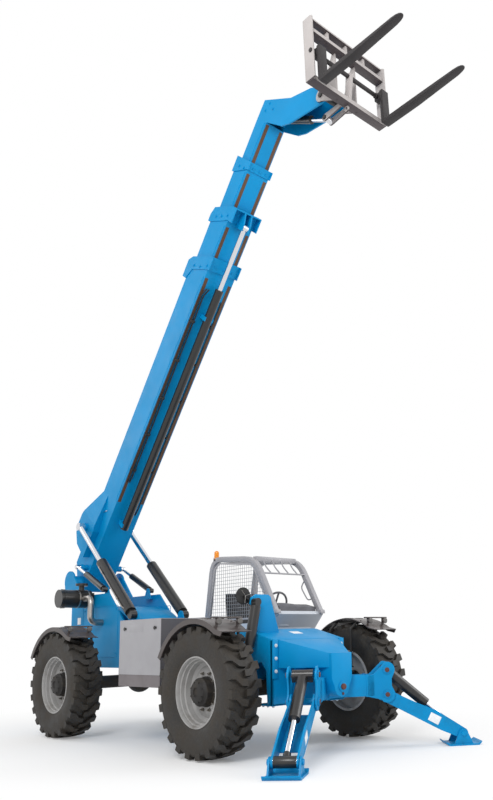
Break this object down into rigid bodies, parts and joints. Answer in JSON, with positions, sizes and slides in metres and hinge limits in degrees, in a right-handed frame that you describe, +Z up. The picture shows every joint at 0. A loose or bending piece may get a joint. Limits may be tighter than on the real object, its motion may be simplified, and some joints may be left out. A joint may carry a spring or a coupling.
{
  "type": "telehandler",
  "caption": "Telescopic handler with a raised four-section boom, fork carriage, open cab, side engine and two front outriggers.",
  "frame": {"origin": "middle of the ground outline, on the ground", "axes": "+X is forward, +Y is the left side of the machine, +Z is up"},
  "size_m": [7.4474, 3.0672, 8.2655],
  "materials": {
    "frame_blue": "bright blue gloss paint",
    "dark_grey_paint": "dark grey satin paint",
    "light_grey_paint": "light grey paint",
    "black_paint": "black semi-gloss paint",
    "silver_paint": "silver wheel paint",
    "rod_chrome": "hard chrome",
    "tyre_rubber": "black rubber",
    "fork_steel": "dark forged steel, painted",
    "axle_iron": "black painted casting",
    "seat_cover": "black seat cover",
    "dash_plastic": "dark grey moulded plastic",
    "beacon_amber": "orange lens",
    "mirror_back": "black moulded plastic",
    "pipe_silver": "plain steel pipe",
    "mesh_wire": "grey painted wire"
  },
  "bodies": {
    "machine": {"chassis": "frame_blue", "rear_tower": "frame_blue", "tower_hood": "frame_blue", "front_nose": "frame_blue", "engine_block": "black_paint", "engine_tray": "dark_grey_paint", "engine_bay": "dark_grey_paint", "air_cleaner": "black_paint", "intake_pipe": "pipe_silver", "cab_tub": "dark_grey_paint", "rops_frame": "light_grey_paint", "side_mesh": "mesh_wire", "seat": "seat_cover", "dash": "dash_plastic", "beacon": "beacon_amber", "mirror": "mirror_back", "rear_axle": "axle_iron"},
    "engine_cover": {"engine_lid": "light_grey_paint"},
    "front_axle_beam": {"front_axle": "axle_iron"},
    "boom_1": {"boom_base": "frame_blue", "extension_barrel": "black_paint"},
    "boom_2": {"boom_second": "frame_blue", "extension_rod": "rod_chrome"},
    "boom_3": {"boom_third": "frame_blue"},
    "boom_4": {"boom_fly": "frame_blue", "boom_head": "frame_blue"},
    "fork_carriage": {"carriage": "light_grey_paint", "forks": "fork_steel"},
    "lift_ram_barrels": {"lift_barrels": "black_paint"},
    "lift_ram_rods": {"lift_rods": "rod_chrome"},
    "slave_ram_barrels": {"slave_barrels": "black_paint"},
    "slave_ram_rods": {"slave_rods": "rod_chrome"},
    "tilt_ram_barrel": {"tilt_barrel": "black_paint"},
    "tilt_ram_rod": {"tilt_rod": "rod_chrome"},
    "sway_ram_barrel": {"sway_barrel": "black_paint"},
    "sway_ram_rod": {"sway_rod": "rod_chrome"},
    "hub_front_left": {"knuckle_front_left": "axle_iron", "fender_front_left": "dark_grey_paint"},
    "wheel_front_left": {"rim_front_left": "silver_paint", "tyre_front_left": "tyre_rubber"},
    "hub_front_right": {"knuckle_front_right": "axle_iron", "fender_front_right": "dark_grey_paint"},
    "wheel_front_right": {"rim_front_right": "silver_paint", "tyre_front_right": "tyre_rubber"},
    "hub_rear_left": {"knuckle_rear_left": "axle_iron", "fender_rear_left": "dark_grey_paint"},
    "wheel_rear_left": {"rim_rear_left": "silver_paint", "tyre_rear_left": "tyre_rubber"},
    "hub_rear_right": {"knuckle_rear_right": "axle_iron", "fender_rear_right": "dark_grey_paint"},
    "wheel_rear_right": {"rim_rear_right": "silver_paint", "tyre_rear_right": "tyre_rubber"},
    "outrigger_left": {"leg_left": "frame_blue"},
    "foot_left": {"pad_left": "frame_blue"},
    "leg_ram_barrel_left": {"leg_barrel_left": "black_paint"},
    "leg_ram_rod_left": {"leg_rod_left": "rod_chrome"},
    "outrigger_right": {"leg_right": "frame_blue"},
    "foot_right": {"pad_right": "frame_blue"},
    "leg_ram_barrel_right": {"leg_barrel_right": "black_paint"},
    "leg_ram_rod_right": {"leg_rod_right": "rod_chrome"}
  },
  "joints": [
    {"name": "cover_hinge", "type": "hinge", "parent": "machine", "child": "engine_cover", "pos_m": [-0.14031, -0.45, 1.483], "axis": [-1, 0, 0], "range_deg": [0, 60]},
    {"name": "axle_sway", "type": "hinge", "parent": "machine", "child": "front_axle_beam", "pos_m": [1.22269, 0, 0.685], "axis": [1, 0, 0], "range_deg": [-10, 10]},
    {"name": "boom_lift", "type": "hinge", "parent": "machine", "child": "boom_1", "pos_m": [-3.52731, 0, 2.17], "axis": [0, -1, 0], "range_deg": [-55.2, 18.8]},
    {"name": "boom_extend", "type": "slide", "parent": "boom_1", "child": "boom_2", "axis": [0.6266, 0, 0.7793], "range_m": [-0.46, 2.5]},
    {"name": "boom_3_slide", "type": "slide", "parent": "boom_2", "child": "boom_3", "axis": [0.6266, 0, 0.7793], "range_m": [-0.46046, 2.5025]},
    {"name": "boom_4_slide", "type": "slide", "parent": "boom_3", "child": "boom_4", "axis": [0.6266, 0, 0.7793], "range_m": [-0.46046, 2.5025]},
    {"name": "carriage_tilt", "type": "hinge", "parent": "boom_4", "child": "fork_carriage", "pos_m": [2.10057, 0, 7.65356], "axis": [0, 1, 0], "range_deg": [-70, 50]},
    {"name": "lift_ram_swing", "type": "hinge", "parent": "machine", "child": "lift_ram_barrels", "pos_m": [-1.59331, 0, 1.59], "axis": [0, -1, 0], "range_deg": [-0.42614, 0.14514]},
    {"name": "lift_ram_stroke", "type": "slide", "parent": "lift_ram_barrels", "child": "lift_ram_rods", "axis": [-0.759, 0, 0.6511], "range_m": [-0.82111, 0.27965]},
    {"name": "slave_ram_swing", "type": "hinge", "parent": "machine", "child": "slave_ram_barrels", "pos_m": [-2.47531, 0, 1.99], "axis": [0, -1, 0], "range_deg": [-3.44, 10.12]},
    {"name": "slave_ram_stroke", "type": "slide", "parent": "slave_ram_barrels", "child": "slave_ram_rods", "axis": [-0.9109, 0, 0.4127], "range_m": [-0.20583, 0.0701]},
    {"name": "tilt_ram_swing", "type": "hinge", "parent": "boom_4", "child": "tilt_ram_barrel", "pos_m": [1.07678, 0, 7.94421], "axis": [0, 1, 0], "range_deg": [-5.46, 3.9]},
    {"name": "tilt_ram_stroke", "type": "slide", "parent": "tilt_ram_barrel", "child": "tilt_ram_rod", "axis": [0.8856, 0, -0.4644], "range_m": [-0.15978, 0.22369]},
    {"name": "sway_ram_swing", "type": "hinge", "parent": "machine", "child": "sway_ram_barrel", "pos_m": [1.31269, -0.53, 1.62], "axis": [1, 0, 0], "range_deg": [-1.5, 1.5]},
    {"name": "sway_ram_stroke", "type": "slide", "parent": "sway_ram_barrel", "child": "sway_ram_rod", "axis": [0, -0.1961, -0.9806], "range_m": [-0.12225, 0.12225]},
    {"name": "steer_front_left", "type": "hinge", "parent": "front_axle_beam", "child": "hub_front_left", "pos_m": [1.22269, 0.78, 0.685], "axis": [0, 0, 1], "range_deg": [-35, 35]},
    {"name": "wheel_spin_front_left", "type": "hinge", "parent": "hub_front_left", "child": "wheel_front_left", "pos_m": [1.22269, 1.09, 0.685], "axis": [0, 1, 0], "continuous": true},
    {"name": "steer_front_right", "type": "hinge", "parent": "front_axle_beam", "child": "hub_front_right", "pos_m": [1.22269, -0.78, 0.685], "axis": [0, 0, 1], "range_deg": [-35.03, 35.03]},
    {"name": "wheel_spin_front_right", "type": "hinge", "parent": "hub_front_right", "child": "wheel_front_right", "pos_m": [1.22269, -1.09, 0.685], "axis": [0, 1, 0], "continuous": true},
    {"name": "steer_rear_left", "type": "hinge", "parent": "machine", "child": "hub_rear_left", "pos_m": [-2.07731, 0.78, 0.685], "axis": [0, 0, 1], "range_deg": [-35, 35]},
    {"name": "wheel_spin_rear_left", "type": "hinge", "parent": "hub_rear_left", "child": "wheel_rear_left", "pos_m": [-2.07731, 1.09, 0.685], "axis": [0, 1, 0], "continuous": true},
    {"name": "steer_rear_right", "type": "hinge", "parent": "machine", "child": "hub_rear_right", "pos_m": [-2.07731, -0.78, 0.685], "axis": [0, 0, 1], "range_deg": [-35.03, 35.03]},
    {"name": "wheel_spin_rear_right", "type": "hinge", "parent": "hub_rear_right", "child": "wheel_rear_right", "pos_m": [-2.07731, -1.09, 0.685], "axis": [0, 1, 0], "continuous": true},
    {"name": "leg_left_raise", "type": "hinge", "parent": "machine", "child": "outrigger_left", "pos_m": [2.17269, 0.606, 0.578], "axis": [0.7891, -0.6143, 0], "range_deg": [0, 95]},
    {"name": "pad_left_tilt", "type": "hinge", "parent": "outrigger_left", "child": "foot_left", "pos_m": [2.6893, 1.26962, 0.129], "axis": [0.7891, -0.6143, 0], "range_deg": [-15, 15]},
    {"name": "leg_ram_swing_left", "type": "hinge", "parent": "machine", "child": "leg_ram_barrel_left", "pos_m": [2.17269, 0.606, 0.843], "axis": [0.7891, -0.6143, 0], "range_deg": [0, 99]},
    {"name": "leg_ram_stroke_left", "type": "slide", "parent": "leg_ram_barrel_left", "child": "leg_ram_rod_left", "axis": [0.4683, 0.6015, -0.6472], "range_m": [-0.38643, 0]},
    {"name": "leg_right_raise", "type": "hinge", "parent": "machine", "child": "outrigger_right", "pos_m": [2.17269, -0.606, 0.578], "axis": [-0.7891, -0.6143, 0], "range_deg": [0, 95]},
    {"name": "pad_right_tilt", "type": "hinge", "parent": "outrigger_right", "child": "foot_right", "pos_m": [2.6893, -1.26962, 0.129], "axis": [-0.7891, -0.6143, 0], "range_deg": [-15, 15]},
    {"name": "leg_ram_swing_right", "type": "hinge", "parent": "machine", "child": "leg_ram_barrel_right", "pos_m": [2.17269, -0.606, 0.843], "axis": [-0.7891, -0.6143, 0], "range_deg": [0, 99]},
    {"name": "leg_ram_stroke_right", "type": "slide", "parent": "leg_ram_barrel_right", "child": "leg_ram_rod_right", "axis": [0.4683, -0.6015, -0.6472], "range_m": [-0.38643, 0]}
  ],
  "couplings": [
    {"joint": "boom_3_slide", "follows": "boom_extend", "ratio": 1},
    {"joint": "boom_4_slide", "follows": "boom_extend", "ratio": 1},
    {"joint": "lift_ram_swing", "follows": "boom_lift", "ratio": 0.007712},
    {"joint": "lift_ram_stroke", "follows": "boom_lift", "m_per_rad": 0.85143},
    {"joint": "slave_ram_swing", "follows": "boom_lift", "ratio": -0.18306},
    {"joint": "slave_ram_stroke", "follows": "boom_lift", "m_per_rad": 0.21343},
    {"joint": "tilt_ram_swing", "follows": "carriage_tilt", "ratio": 0.077913},
    {"joint": "tilt_ram_stroke", "follows": "carriage_tilt", "m_per_rad": -0.18291},
    {"joint": "sway_ram_swing", "follows": "axle_sway", "ratio": -0.15008},
    {"joint": "sway_ram_stroke", "follows": "axle_sway", "m_per_rad": 0.69971},
    {"joint": "steer_front_right", "follows": "steer_front_left", "ratio": 1},
    {"joint": "steer_rear_right", "follows": "steer_rear_left", "ratio": 1},
    {"joint": "leg_ram_swing_left", "follows": "leg_left_raise", "ratio": 1.041},
    {"joint": "leg_ram_stroke_left", "follows": "leg_left_raise", "m_per_rad": -0.23283},
    {"joint": "leg_ram_swing_right", "follows": "leg_right_raise", "ratio": 1.041},
    {"joint": "leg_ram_stroke_right", "follows": "leg_right_raise", "m_per_rad": -0.23283}
  ]
}
